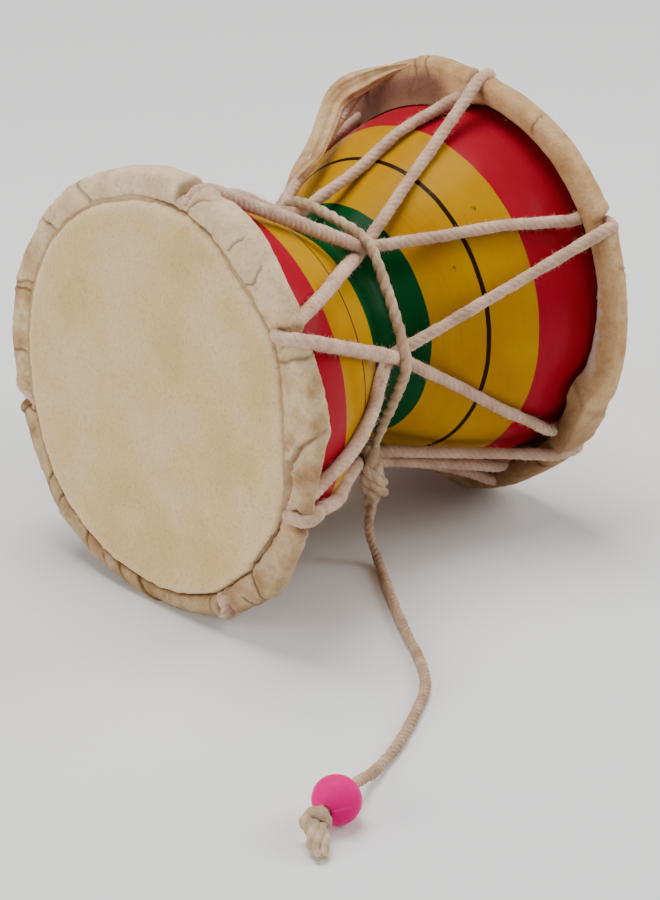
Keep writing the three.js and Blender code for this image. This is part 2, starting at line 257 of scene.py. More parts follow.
def rows_to_mesh(name, rows, closed=False, marks=None, shift=DRUM_SHIFT):
    """rows has the shape (rows, points round each, 3). Ends are closed by a point."""
    count, around = rows.shape[:2]
    points = in_frame(rows.reshape(-1, 3), shift)
    near = np.arange(around)
    after = (near + 1) % around
    starts = np.arange(count if closed else count - 1)[:, None] * around
    nexts = np.roll(np.arange(count), -1)[:len(starts), None] * around
    faces = np.stack([starts + near, starts + after, nexts + after, nexts + near], axis=-1)
    faces = faces.reshape(-1, 4).tolist()
    if not closed:
        end, last_row = len(points), (count - 1) * around
        points = np.vstack([points, in_frame([rows[0].mean(axis=0), rows[-1].mean(axis=0)], shift)])
        faces += [(int(b), int(a), end) for a, b in zip(near, after)]
        faces += [(int(a), int(b), end + 1) for a, b in zip(near + last_row, after + last_row)]
    piece = new_piece(name, points, faces)
    mesh = piece.data
    for mark, values in (marks or {}).items():
        values = np.broadcast_to(np.asarray(values, float), (count, around))
        flat = values.ravel() if closed else [*values.ravel(), values[0].mean(), values[-1].mean()]
        mesh.attributes.new(mark, "FLOAT", "POINT").data.foreach_set("value", np.float32(flat))
    solid = bmesh.new()
    solid.from_mesh(mesh)
    if solid.calc_volume(signed=True) < 0:
        mesh.flip_normals()
    solid.free()
    return piece


print("mesh helpers ready")

# %% [markdown]
# Cotton cord is plied: a few soft strands are twisted together, and the eye sees the
# slanted furrows between them. The section here is a ring of lobes that turns as it goes
# along. A plied section with its corners on the furrows costs few faces.

# %% Plied cord
def plied_rows(path, diameter, plies, lay, furrow, corners, closed=False, seed=1, taper=None):
    """Rows of a plied cord. lay is the length of one full turn, furrow a share of the radius."""
    along, side, up = frames_along(path, closed)
    steps = np.linalg.norm(np.diff(path, axis=0), axis=1)
    walked = np.concatenate([[0], np.cumsum(steps)])
    turn = 2 * math.pi * walked / lay
    if closed:
        whole = walked[-1] + np.linalg.norm(path[0] - path[-1])
        last = side[-1] - along[0] * (side[-1] @ along[0])
        slip = math.atan2(last @ up[0], last @ side[0])
        turns = round(whole / lay * plies) / plies * 2 * math.pi
        turn = walked / whole * (turns - slip)
    around = np.arange(corners * plies) / (corners * plies) * 2 * math.pi
    lobes = 1 - furrow * (1 - np.abs(np.sin(plies / 2 * around)))
    angle = around[None, :] + turn[:, None]
    arms = side[:, None] * np.cos(angle)[..., None] + up[:, None] * np.sin(angle)[..., None]
    radius = diameter / 2 * np.ones(len(path)) if taper is None else diameter / 2 * taper(walked / walked[-1])
    lumps = 1 + 0.05 * soft_noise(path, 5, seed)[:, None]
    rows = path[:, None] + arms * (radius[:, None] * lumps * lobes[None, :])[..., None]
    rows += arms * (0.15 * soft_noise(rows, 2.2, seed + 5) + 0.1 * soft_noise(rows, 1.0, seed + 6))[..., None]
    furrows = np.broadcast_to(1 - np.abs(np.sin(plies / 2 * around)), rows.shape[:2])
    return rows, furrows


print("cord helper ready")

# %% [markdown]
# Cotton is never clean-edged. Short loose fibres stand off every cord, so each cord also
# gets a nap of very thin three-sided hairs that start inside it.

# %% Loose fibres
def fibres(name, rows, per_row, reach, seed, shift=DRUM_SHIFT, thick=0.05):
    chance = np.random.default_rng(seed)
    count = int(len(rows) * per_row)
    row = chance.integers(0, len(rows), count)
    column = chance.integers(0, rows.shape[1], count)
    out = unit(rows[row, column] - rows[row].mean(axis=1))
    first = unit(out + chance.normal(0, 0.75, (count, 3)))
    second = unit(first + chance.normal(0, 0.6, (count, 3)))
    long = reach * chance.uniform(0.35, 1, count)[:, None]
    root = rows[row, column] - out * 0.15
    bend = root + first * long * 0.55
    across = unit(np.cross(first, [0.3, 0.5, 0.8]))
    other = np.cross(first, across)
    points = []
    for turn in (0, 2.094, 4.189):
        edge = (across * math.cos(turn) + other * math.sin(turn)) * thick / 2
        points += [root + edge, bend + edge * 0.8]
    points = np.stack([*points, bend + second * long * 0.6], axis=1)
    faces = []
    for corners in [(0, 2, 3, 1), (2, 4, 5, 3), (4, 0, 1, 5), (0, 4, 2), (1, 3, 6), (3, 5, 6), (5, 1, 6)]:
        faces += (np.arange(count)[:, None] * points.shape[1] + corners).tolist()
    return new_piece(name, in_frame(points.reshape(-1, 3), shift), faces)


def join_onto(piece, others):
    """Adds the meshes of other pieces to one, which keeps its name and material."""
    with bpy.context.temp_override(active_object=piece, selected_editable_objects=[piece, *others]):
        bpy.ops.object.join()


print("fibre helper ready")

# %% [markdown]
# The cotton of the lacing is undyed and a little pink, the thinner cord is more beige.
# Spun cotton scatters light from countless fibres: no gloss and a faint sheen at the edge. Painted shade darkens the
# furrows where the plies meet.

# %% Spun cotton
def spun_cotton(name, light, dark, furrow, fleck):
    cotton, shader, place = new_material(name, {"Roughness": 0.95, "Specular IOR Level": 0.1})
    patches = add_node(cotton, "TexNoise", {"Vector": place, "Scale": per(7.0), "Detail": 3})
    tone = add_node(cotton, "ValToRGB", {"Fac": patches}, stops=[(0.35, dark), (0.62, light)])
    fibre = add_node(cotton, "TexNoise", {"Vector": place, "Scale": per(0.9), "Detail": 4})
    # Painted shade: deep in each furrow between the plies the colour goes towards the furrow colour.
    mark = add_node(cotton, "Attribute", attribute_name="furrow").outputs["Fac"]
    depth = add_node(cotton, "Math", {0: mark, 1: 2.0}, operation="POWER")
    deep = add_node(cotton, "Math", {0: depth, 1: 0.24}, operation="MULTIPLY")
    shaded = add_node(cotton, "Mix", {0: deep, 6: tone, 7: linear(furrow)}, data_type="RGBA")
    specks = add_node(cotton, "MapRange", {"Value": fibre, "From Min": 0.52, "From Max": 0.72, "To Max": 0.5})
    flecked = add_node(cotton, "Mix", {0: specks, 6: shaded, 7: linear(fleck)}, data_type="RGBA")
    bump = add_node(cotton, "Bump", {"Height": fibre, "Strength": 0.5, "Distance": 0.0003})
    set_inputs(shader, {"Base Color": flecked, "Normal": bump})
    return cotton


ROPE_COTTON = spun_cotton("undyed_spun_cotton_rope", "dcbaa0", "c4a088", "96765f", "a08470")
CORD_COTTON = spun_cotton("beige_spun_cotton_cord", "d1b596", "b09578", "6a5642", "8c7156")
STRIKER_COTTON = spun_cotton("brownish_spun_cotton_cord", "c9a88c", "ab8a6f", "674f3b", "856a54")
print("cotton materials:", ROPE_COTTON.name, CORD_COTTON.name, STRIKER_COTTON.name)

# %% [markdown]
# The striker is the one free cord. It leaves the waist knot, hangs to the ground and lies
# along it to its bead. The points are those of its solid, so that it lies inside it.

# %% Striker cord
STRIKER_DIAMETER = 2.8
STRIKER_ROUTE = [
    [-3.2, -24.8, 15.9], [-4.4, -25, 11.5], [-4.5, -25.8, 7.4], [-4.6, -27.8, 3.8], [-6.6, -31.6, 1.7],
    [-11.1, -37.8, 1.5], [-20.2, -50.5, 1.5], [-27.2, -60.5, 1.5], [-32.3, -68.3, 1.5],
    [-38.4, -77.9, 1.5], [-45.3, -86.5, 1.5], [-50.5, -91.1, 1.5], [-56.4, -94.9, 1.5],
    [-65.7, -100.3, 1.5], [-75.1, -105.1, 1.5], [-82.4, -108.2, 1.6], [-90, -111.4, 2.6],
    [-97, -114.2, 4.6], [-103.6, -116.5, 6.2], [-110.3, -118.6, 6.4], [-116.4, -120.5, 6.4],
]
BEAD_PLACE = np.array(STRIKER_ROUTE[-2])
BEAD_AXIS = unit(np.array(STRIKER_ROUTE[-1]) - BEAD_PLACE)
striker_path, striker_length = even_steps(STRIKER_ROUTE, 0.35)
striker_rows, striker_furrows = plied_rows(striker_path, STRIKER_DIAMETER * 1.04, 3, 5.6, 0.2, 7, seed=3)
striker = rows_to_mesh("striker_cord_plied", striker_rows, marks={"furrow": striker_furrows}, shift=GROUND_SHIFT)
striker.data.materials.append(STRIKER_COTTON)
striker_nap = fibres("striker_cord_nap", striker_rows[6:-6], 1.6, 0.6, 11, GROUND_SHIFT, thick=0.06)
join_onto(striker, [striker_nap])
print("striker cord:", round(striker_length, 1), "mm long,", len(striker.data.polygons), "faces")

# %% [markdown]
# The bead is moulded plastic. Its mould leaves a low seam on one side and a slightly
# flattened ring at each end of the bore. A turned profile with its bore gives the body.

# %% Bead
BEAD_DIAMETER = 12.6
BORE_RADIUS = 1.9
VIEW_RIGHT = np.array([0.711, -0.703, 0])
VIEW_UP = np.array([0.296, 0.3, 0.907])
bead_side = unit(np.cross(BEAD_AXIS, [0, 0, 1.0]))
bead_up = np.cross(bead_side, BEAD_AXIS)
bead_half = math.acos(BORE_RADIUS / (BEAD_DIAMETER / 2))
bead_turn = np.linspace(-bead_half, bead_half, 100)
bead_radius = BEAD_DIAMETER / 2 * (1 + 0.012 * np.cos(4 * bead_turn))
bead_profile = [(r * math.cos(t), r * math.sin(t)) for r, t in zip(bead_radius, bead_turn)]
bead_end = bead_profile[-1][1]
bore = [(0.1, bead_end + 0.15), (0.3, bead_end - 0.4), (0.35, bead_end - 1.5)]
bead_profile += [(BORE_RADIUS - inset, height) for inset, height in bore]
bead_profile += [(BORE_RADIUS - inset, -height) for inset, height in bore[::-1]]
bead_around = np.linspace(0, 2 * math.pi, 160, endpoint=False)[:, None]
bead_rows = np.array([
    BEAD_AXIS * height + radius * (bead_side * np.cos(bead_around) + bead_up * np.sin(bead_around))
    for radius, height in bead_profile
])
bead_right, bead_high = bead_rows @ VIEW_RIGHT, bead_rows @ VIEW_UP
seam_off = bead_high + 1.8 - 0.21 * (bead_right - 1.4)
seam = 0.32 * np.exp(-(seam_off / 0.26) ** 2) * between(-1.1, -0.4, 3.0, 4.0, bead_right)
seam *= bead_rows @ np.cross(VIEW_UP, VIEW_RIGHT) < 0
bead_rows *= 1 + (seam + 0.03 * soft_noise(bead_rows, 3.0, 5))[..., None] / (BEAD_DIAMETER / 2)
bead = rows_to_mesh("bead_moulded", bead_rows + BEAD_PLACE, closed=True, shift=GROUND_SHIFT)
print("bead:", BEAD_DIAMETER, "mm,", len(bead.data.polygons), "faces")

# %% [markdown]
# The plastic is polystyrene, coloured right through and polished by its mould: an even
# strong pink, with a soft highlight and the faintest wave in it.

# %% Moulded polystyrene
PINK_PLASTIC, pink_shader, pink_place = new_material(
    "moulded_pink_polystyrene", {"Roughness": 0.25, "Specular IOR Level": 0.02})
pink_cloud = add_node(PINK_PLASTIC, "TexNoise", {"Vector": pink_place, "Scale": per(5.0), "Detail": 2})
pink_tone = add_node(PINK_PLASTIC, "ValToRGB", {"Fac": pink_cloud}, stops=[(0.3, "de0074"), (0.7, "e4007c")])
pink_wave = add_node(PINK_PLASTIC, "Bump", {"Height": pink_cloud, "Strength": 0.15, "Distance": 0.0004})
set_inputs(pink_shader, {"Base Color": pink_tone, "Normal": pink_wave})
bead.data.materials.append(PINK_PLASTIC)
print("material:", PINK_PLASTIC.name)

# %% [markdown]
# A knot of the same cord keeps the bead on. It is a folded loop with two flattened,
# frayed ends that droop to the ground. It is tied here from short lengths of cord.

# %% End knot
def cord_piece(name, routes, material, shift=DRUM_SHIFT, fuzz=0.5, reach=1.0, seed=20):
    """One piece made of several plied lengths. A route is (points, diameter, plies, lay, taper)."""
    made = []
    for number, (points, diameter, plies, lay, taper) in enumerate(routes):
        path, _ = even_steps(points, 0.35)
        rows, furrows = plied_rows(path, diameter, plies, lay, 0.22, 8, seed=seed + number, taper=taper)
        made.append(rows_to_mesh(f"{name}_{number}", rows, marks={"furrow": furrows}, shift=shift))
        if fuzz:
            made.append(fibres(f"{name}_nap_{number}", rows, fuzz, reach, seed + number, shift, thick=0.08))
    piece = made[0]
    join_onto(piece, made[1:])
    piece.name = name
    piece.data.materials.append(material)
    return piece


def blunt(share):
    return np.minimum(1, 0.35 + 7 * np.minimum(share, 1 - share))


def frayed(share):
    return np.minimum(1, 0.5 + 6 * share) * (1 - 0.6 * step_up(0.55, 1, share))


end_knot = cord_piece("end_knot_tied", [
    ([[-114.5, -119.9, 6.2], [-117.6, -120.4, 7.0], [-120.2, -120.2, 7.8], [-122.4, -121.0, 7.0],
      [-123.0, -122.4, 4.6], [-121.6, -122.6, 2.8], [-119.2, -121.6, 2.6]], 3.2, 2, 13, blunt),
    ([[-117.4, -121.6, 3.0], [-118.0, -122.8, 5.2], [-118.9, -122.9, 7.4], [-120.8, -121.2, 7.9],
      [-122.4, -119.8, 6.2], [-122.6, -119.7, 4.0]], 2.8, 2, 13, blunt),
    ([[-120.6, -120.9, 6.4], [-121.8, -122.2, 5.6], [-123.2, -124.0, 4.2], [-124.6, -125.8, 2.9],
      [-126.6, -129.0, 1.5]], 4.0, 3, 16, frayed),
    ([[-119.8, -122.2, 5.8], [-120.9, -123.8, 4.6], [-122.0, -125.6, 3.2], [-123.4, -127.4, 2.4],
      [-125.4, -129.8, 1.4]], 3.8, 3, 16, frayed),
], CORD_COTTON, shift=GROUND_SHIFT, fuzz=1.6, reach=0.9, seed=40)
print("end knot:", len(end_knot.data.polygons), "faces")

# %% [markdown]
# Every piece rides with the drum and stands for its solid.

def declare(piece, slot, *nodes):
    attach(piece, "root")
    if nodes:
        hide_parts(*nodes)


declare(striker, "cotton_cord", "striker_cord")
declare(bead, "pink_plastic", "striker_bead")
declare(end_knot, "cotton_cord", "striker_end_knot")
print("striker declared:", round(striker_length / 1000, 4), "m")

# %% [markdown]
# The hoops of the real heads are not true circles: the wrapped hide is thick in some
# places and thin in others. A few measured angles say how far each hoop stands out, how
# deep it is, and where the groove beside the playing skin runs. Rope and hide both read
# these tables, so a loop of rope follows its hoop.

# %% Shape of the hoops
def round_table(pairs, degrees):
    angles, values = zip(*sorted(pairs))
    degrees = np.mod(degrees, 360)
    spread = [angles[-1] - 360, *angles, angles[0] + 360]
    return np.interp(degrees, spread, [values[-1], *values, values[0]])


HEADS["near"].update(
    sway=[(14, 0.2), (33, 0.9), (46, 0.2), (55, -0.8), (65, -1.4), (75, -1.0), (83, -0.2), (92, -1.8), (108, -1.9),
          (118, -0.8), (131, 0.6), (145, 0.6), (158, 0.3), (177, -0.7), (195, -0.5), (209, 0.7), (221, 1.2),
          (235, -0.5), (250, -1.7), (264, -1.2), (285, -1.5), (303, -1.9), (330, -2.0), (343, -1.8), (358, -0.6)],
    groove=[(14, 55.4), (22, 54.7), (31, 53.6), (36, 52.5), (42, 52.9), (50, 53.4), (56, 54.2), (64, 53.6),
            (75, 52.0), (85, 51.6), (95, 52.2), (99, 53.4), (107, 54.2), (116, 54.6), (125, 54.4), (132, 54.6),
            (134, 55.6), (145, 56.0), (152, 57.0), (173, 57.2), (185, 57.0), (205, 57.0), (222, 56.5), (233, 55.4),
            (246, 53.4), (260, 52.4), (275, 52.4), (290, 52.8), (303, 53.4), (328, 53.3), (343, 53.2), (356, 54.0)],
    depth=[(10, 6.0), (19, 5.5), (31, 6.2), (38, 5.8), (46, 5.2), (54, 5.0), (60, 4.4), (70, 4.4), (78, 5.0),
           (84, 6.0), (88, 4.8), (100, 4.2), (110, 4.2), (120, 5.5), (137, 7.0), (180, 7.4), (300, 7.4), (350, 6.6)],
)
HEADS["far"].update(
    sway=[(0, 0.9), (8, 0.4), (26, 1.0), (38, 1.5), (50, 1.1), (65, 1.0), (80, 0.3), (100, 0.3), (124, 0.0),
          (149, -0.3), (170, -0.4), (200, 0), (250, 0), (291, 2.0), (315, 3.4), (330, 2.8), (348, 2.8)],
    groove=[(0, 55.2), (90, 55.0), (180, 55.3), (270, 55.1)],
    depth=[(0, 7.2), (40, 7.4), (90, 7.0), (101, 7.6), (105, 11.5), (109, 14.5), (117, 13.5), (126, 11.5),
           (136, 11.5), (148, 14), (163, 13.5), (180, 9), (270, 7.4), (320, 5.6), (345, 6.2)],
)


for name, head in HEADS.items():
    print(name, "hoop stands out by", min(s for _, s in head["sway"]), "to", max(s for _, s in head["sway"]), "mm")

# %% [markdown]
# The lacing is one rope. It comes up through a hole beside the skin, turns over the hoop,
# runs down to the waist, crosses its neighbour there and goes on to the other head. With
# seven loops on each hoop it closes on itself after fourteen lengths.

# %% Lacing rope
ROPE_DIAMETER = 4.2
LOOP_SPREAD = 3
HOLE_RADIUS = 56.9
NEAR_LOOPS = [11, 58.5, 108.5, 151, 203, 252, 309]
FAR_LOOPS = [4, 59, 127, 151, 205, 264, 319]
LOOPS = len(NEAR_LOOPS)
CROSSINGS = [(-12, 0, 0), (30, 0, 0), (85, -3, 0), (153, 0, 4), (197, 0, 0), (247, 0, 0), (297, 0, 0)]
CROSSING_LOW = 32.2
CROSSING_HIGH = 34.9
TONGUE_BEND = np.array([[-1.4, 1.4, 0], [-2.4, 2.4, 0], [-3.4, 3.4, 0], [-4.6, 4.6, 0]])
NEAR_PRESS = [3.3, 1.6, 1.9, 2.8, 4.7, 3.4, 4.7]
FAR_PRESS = [2.2, 2.8, 3.4, 4.7, 2.6, 2.6, 4.7]
HEADS["near"].update(loops=NEAR_LOOPS, press=NEAR_PRESS, spread=[3, 3, 4.5, 3, 3, 3, 3],
                     slant=[1, 1, -0.5, 1, 1, 1, 1], tan=0.0)
HEADS["far"].update(loops=FAR_LOOPS, press=FAR_PRESS, spread=[3] * LOOPS, slant=[1] * LOOPS, tan=1.0)
print("loops on each hoop:", LOOPS)

# %% [markdown]
# The ropes lie close over the shell, so its outline comes first: a profile from the
# waist to the rim, the same at both ends.

# %% Outline of the shell
SHELL_OUTLINE = [(0, 0), (0.07, 0.035), (0.185, 0.19), (0.4, 0.57), (0.62, 0.835), (0.83, 0.96), (1, 1)]
SHELL_HALF = 62.7
WAIST_RADIUS = 29.5
shell_curve, _ = even_steps([(a * SHELL_HALF, WAIST_RADIUS + g * (RIM_RADIUS - WAIST_RADIUS), 0)
                             for a, g in SHELL_OUTLINE], 0.5)


def shell_radius(x):
    return np.interp(np.abs(x), shell_curve[:, 0], shell_curve[:, 1])


print("shell is", round(float(shell_radius(30)), 1), "mm in radius 30 mm from the waist")

# %% [markdown]
# Each loop comes up beside the skin, lies in the dent it has pressed into the hoop and
# goes down behind it. Each leg then runs straight to the waist, but never through the wood.

# %% Route of the lacing
def loop_points(head, index):
    angle = head["loops"][index % LOOPS]
    sway = round_table(head["sway"], angle)
    depth = round_table(head["depth"], angle)
    groove = round_table(head["groove"], angle)
    outside = HOOP_OUTSIDE + sway + 2.1 - head["press"][index % LOOPS]
    over = HOOP_FACE + 2.4 - head["press"][index % LOOPS]
    back = HOOP_FACE - depth
    slant = LOOP_SPREAD * head["slant"][index % LOOPS]
    route = [
        (HOLE_RADIUS - 0.4, back - 1.5, -head["spread"][index % LOOPS]),
        (HOLE_RADIUS - 0.2, back + 3, -head["spread"][index % LOOPS]),
        (groove + 1.3, HOOP_FACE - 1.2, -slant * 0.8), (groove + 2.3, over - 0.3, -slant * 0.5),
        (outside - 4.4, over + 0.1, 0), (outside - 1.4, over - 0.9, slant * 0.4),
        (outside, HOOP_FACE - 1.6, slant * 0.8), (outside - 0.1, back + 0.8, slant),
    ]
    points = np.array([round_drum(radius, head["side"] * out, angle + turn) for radius, out, turn in route])
    return leaned(points, head)


def leg_points(start, end):
    points = start + (end - start) * np.linspace(0, 1, 9)[1:-1, None]
    apart = np.hypot(points[:, 1], points[:, 2])
    push = np.maximum(1, (shell_radius(points[:, 0]) + ROPE_DIAMETER / 2 + 0.15) / apart)
    return points * np.stack([np.ones(len(push)), push, push], axis=1)


def crossing(index, high):
    angle, shift, pulled = CROSSINGS[index % LOOPS]
    return round_drum((CROSSING_HIGH if high else CROSSING_LOW) + pulled, shift, angle)


def lacing_route():
    route = []
    head, other, index = HEADS["near"], HEADS["far"], 0
    for _ in range(2 * LOOPS):
        loop = loop_points(head, index)
        after = loop_points(other, index + 1)
        middle = crossing(index + 1, head is HEADS["near"])
        leg = leg_points(loop[-1], middle)[::2]
        if head is HEADS["far"] and index % LOOPS == LOOPS - 1:
            leg = leg + TONGUE_BEND
        route += [*loop, *leg, middle, *leg_points(middle, after[0])[::2]]
        head, other, index = other, head, index + 1
    return np.array(route)


route = lacing_route()
print("the lacing runs through", len(route), "points")

# %% [markdown]
# The rope is laid from four plies and drawn a little thinner where it is pulled tight
# over the far half. Its nap is a piece of its own, as it is made of very many hairs.

# %% Rope along the route
rope_path, rope_length = even_steps(route, 0.75, closed=True)
rope_drawn = np.interp(rope_path[:, 0], [-10, 12, 48, 56], [0.97, 0.84, 0.84, 0.95])
rope_rows, rope_furrows = plied_rows(rope_path, ROPE_DIAMETER, 4, 8.4, 0.07, 6, closed=True, seed=7,
                                     taper=lambda share: rope_drawn)
rope = rows_to_mesh("lacing_rope_plied", rope_rows, closed=True, marks={"furrow": rope_furrows})
rope_nap = fibres("lacing_rope_nap", rope_rows, 7, 1.5, 12, thick=0.09)
for piece in (rope, rope_nap):
    piece.data.materials.append(ROPE_COTTON)
declare(rope, "cotton_rope", "lacing_rope")
declare(rope_nap, "cotton_rope")
print("lacing rope:", round(rope_length), "mm,", len(rope.data.polygons), "faces, nap", len(rope_nap.data.polygons))

# %% [markdown]
# A thinner cord is drawn round the waist over the crossings, which pulls the lacing in
# and tightens the heads. Both its ends are wound into one hard knot, and the striker
# comes out of the bottom of that knot.

# %% Waist cord and knot
CORD_DIAMETER = 3.3
RING_RADIUS = 37.6
KNOT_PLACE = np.array([-1.6, -22.84, -38.77])
VIEW_NEAR = np.array([-0.703, -0.711, 0])


def seen(*places):
    """Places beside the knot: millimetres to the viewer's right, down, and towards them."""
    right, down, near = np.array(places, float).T[..., None]
    return KNOT_PLACE + right * VIEW_RIGHT + near * VIEW_NEAR - down * np.array([0, 0, 1.0])


ring = []
for turn, (angle, shift, pulled) in enumerate(CROSSINGS[3:] + CROSSINGS[:3]):
    wrap = 360 if turn > 3 else 0
    for offset in (-3.5, 3.5) if turn else (3.5,):
        ring.append(round_drum(RING_RADIUS + pulled, shift, angle + wrap + offset))
ring.append(round_drum(RING_RADIUS, 0, 146 + 360 - 4))
ring_route = np.vstack([seen((0.5, 1, -1), (1.4, -3, 0)), ring, seen((2.2, -4.5, 0.6), (1.0, 0, 0.5))])
knot_core = seen((0.4, -9.5, -2.6), (0.6, -6.0, -0.8), (0.9, -2.4, 0), (0.9, 0.4, 0), (0.8, 2.8, 0),
                 (0.4, 5.0, 0), (0.0, 6.8, 0), (0.1, 9.5, 0.1))
knot_wraps = [
    seen((-1.8, -5.0, 1.0), (-0.6, -3.8, 2.6), (1.6, -1.8, 3.0), (3.4, 0.2, 1.4), (3.0, 1.4, -1.6)),
    seen((-2.2, -3.0, 0.6), (-1.4, -1.6, 2.4), (0.8, 0.4, 3.2), (3.0, 2.4, 2.0), (3.8, 3.6, 0.2),
         (2.2, 3.6, -2.0), (-0.6, 1.4, -2.6)),
    seen((-2.2, -0.6, 0.2), (-1.6, 1.2, 1.9), (0.2, 3.4, 2.2), (1.4, 5.2, 1.2), (0.8, 6.6, -0.2)),
]


def core_taper(share):
    return 0.8 + 0.2 * step_up(0, 0.3, share) - 0.42 * step_up(0.6, 0.98, share)


waist = cord_piece("waist_cord_tied", [
    (ring_route, CORD_DIAMETER, 2, 7.4, blunt),
    (knot_wraps[0], 3.2, 2, 10, blunt),
    (knot_wraps[1], 3.0, 2, 10, blunt),
    (knot_wraps[2], 2.8, 2, 10, blunt),
    (knot_core, 6.2, 3, 16, core_taper),
], CORD_COTTON, fuzz=1.3, reach=1.1, seed=60)
declare(waist, "cotton_cord", "waist_cord")
print("waist cord and knot:", len(waist.data.polygons), "faces")

# %% [markdown]
# The shell is one block of wood turned on a lathe and bored through. A turned form is a
# profile swept round the axis, here in much finer steps than the solid, because its
# gloss would show every facet. Its two sawn ends lean with the heads.

# %% Turned shell
SHELL_AROUND = 200
SHELL_STATIONS = np.linspace(-1, 1, 121)
around = np.linspace(0, 360, SHELL_AROUND, endpoint=False)


def end_station(head, radius):
    """Where the leaned, sawn end of the shell lies, at each angle round the drum."""
    lean = math.radians(head["lean"])
    height = radius * np.cos(np.radians(around))
    flat = HOOP_MIDDLE + (SHELL_HALF - HOOP_MIDDLE) / math.cos(lean)
    return head["side"] * flat + height * math.tan(lean)


def shell_rows(wall):
    rows = []
    for share in SHELL_STATIONS:
        head = HEADS["far"] if share > 0 else HEADS["near"]
        edge = 3.6 * step_up(57.5, SHELL_HALF + 0.5, abs(share) * SHELL_HALF) if wall(1) == 0 else 0
        radius = shell_radius(share * SHELL_HALF) - wall(abs(share)) - edge
        blend = step_up(0.75, 1, abs(share))
        x = share * SHELL_HALF * (1 - blend) + end_station(head, radius) * blend
        rows.append(round_drum(radius, x, around))
    return rows


shell_outside = shell_rows(lambda share: 0)
shell_inside = shell_rows(lambda share: 8 - 3 * share)
shell = rows_to_mesh("shell_turned", np.array(shell_outside + shell_inside[::-1]), closed=True)
inside_wood = len(shell_outside) * SHELL_AROUND
for face in shell.data.polygons:
    face.material_index = int(face.index >= inside_wood - SHELL_AROUND)
    face.use_smooth = not (inside_wood - SHELL_AROUND <= face.index < inside_wood)
declare(shell, "painted_wood", "wooden_shell")
print("shell:", len(shell.data.polygons), "faces, waist", 2 * WAIST_RADIUS, "mm across")

# %% [markdown]
# The shell is painted on the lathe: a brush is held still while the wood turns, so every
# border is a true circle, here a little askew, as the wood sat askew on the lathe. The
# bands are picked by the distance from the waist, and a thin dark line parts the yellow.

# %% Lacquer paint in bands
BAND_GREEN_END = 11.0
BAND_LINE = 24.6
BAND_RED_START = 38.3
PAINT_LEAN = 0.03
PAINT, paint_shader, paint_place = new_material(
    "brushed_on_gloss_lacquer", {"Roughness": 0.24, "Specular IOR Level": 0.035})
axes = add_node(PAINT, "SeparateXYZ", {"Vector": paint_place})
centred = add_node(PAINT, "Math", {0: axes.outputs["X"], 1: DRUM_SHIFT[0] / 1000}, operation="SUBTRACT")
hand = add_node(PAINT, "TexNoise", {"Vector": paint_place, "Scale": per(14.0), "Detail": 2})
waver = add_node(PAINT, "MapRange", {"Value": hand, "To Min": -0.00035, "To Max": 0.00035})
wavered = add_node(PAINT, "Math", {0: centred, 1: waver}, operation="ADD")
tall = add_node(PAINT, "Math", {0: axes.outputs["Z"], 1: DRUM_SHIFT[2] / 1000}, operation="SUBTRACT")
askew = add_node(PAINT, "Math", {0: tall, 1: -PAINT_LEAN, 2: wavered}, operation="MULTIPLY_ADD")
station = add_node(PAINT, "Math", {0: askew}, operation="ABSOLUTE")
station_share = add_node(PAINT, "Math", {0: station, 1: 1000 / HALF_LENGTH}, operation="MULTIPLY")
bands = add_node(PAINT, "ValToRGB", {"Fac": station_share}, stops=[
    (0, "07451f"), (BAND_GREEN_END / HALF_LENGTH, "b88700"), (BAND_RED_START / HALF_LENGTH, "a01528")])
bands.color_ramp.interpolation = "CONSTANT"
off_line = add_node(PAINT, "Math", {0: station, 1: BAND_LINE / 1000}, operation="SUBTRACT")
from_line = add_node(PAINT, "Math", {0: off_line}, operation="ABSOLUTE")
half_line = add_node(PAINT, "MapRange", {"Value": centred, "From Min": -0.02, "From Max": 0.02,
                                         "To Min": 0.0004, "To Max": 0.00058})
on_line = add_node(PAINT, "Math", {0: from_line, 1: half_line}, operation="LESS_THAN")
lined = add_node(PAINT, "Mix", {0: on_line, 6: bands, 7: linear("2a1a08")}, data_type="RGBA")
print("bands end at", BAND_GREEN_END, "and", BAND_RED_START, "mm, with a line at", BAND_LINE)

# %% [markdown]
# The paint is a glossy lacquer, brushed on thin: it is deeper in broad clouds where it
# pooled, and the fine turning rings of the wood show through it in colour and in gloss.

# %% Clouds and rings in the paint
cloud = add_node(PAINT, "TexNoise", {"Vector": paint_place, "Scale": per(22.0), "Detail": 3})
cloud_share = add_node(PAINT, "MapRange", {"Value": cloud, "From Min": 0.42, "From Max": 0.72, "To Max": 0.45})
deeper = add_node(PAINT, "Mix", {0: 1.0, 6: lined, 7: linear("d8a878")}, data_type="RGBA", blend_type="MULTIPLY")
clouded = add_node(PAINT, "Mix", {0: cloud_share, 6: lined, 7: deeper}, data_type="RGBA")
stretched = add_node(PAINT, "Mapping", {"Vector": paint_place, "Scale": (per(0.8), per(14), per(14))})
rings = add_node(PAINT, "TexNoise", {"Vector": stretched, "Scale": 1.0, "Detail": 3})
ring_share = add_node(PAINT, "MapRange", {"Value": rings, "From Min": 0.5, "From Max": 0.8, "To Max": 0.22})
painted = add_node(PAINT, "Mix", {0: ring_share, 6: clouded, 7: deeper}, data_type="RGBA")
paint_bump = add_node(PAINT, "Bump", {"Height": rings, "Strength": 0.12, "Distance": 0.0002})
print("paint so far:", len(PAINT.node_tree.nodes), "nodes")

# %% [markdown]
# A few small marks are left on the lacquer: dark flecks on the bands, and pale specks
# beside the hide. Each has a place, a reach in millimetres and a colour, and noise
# breaks its edge.

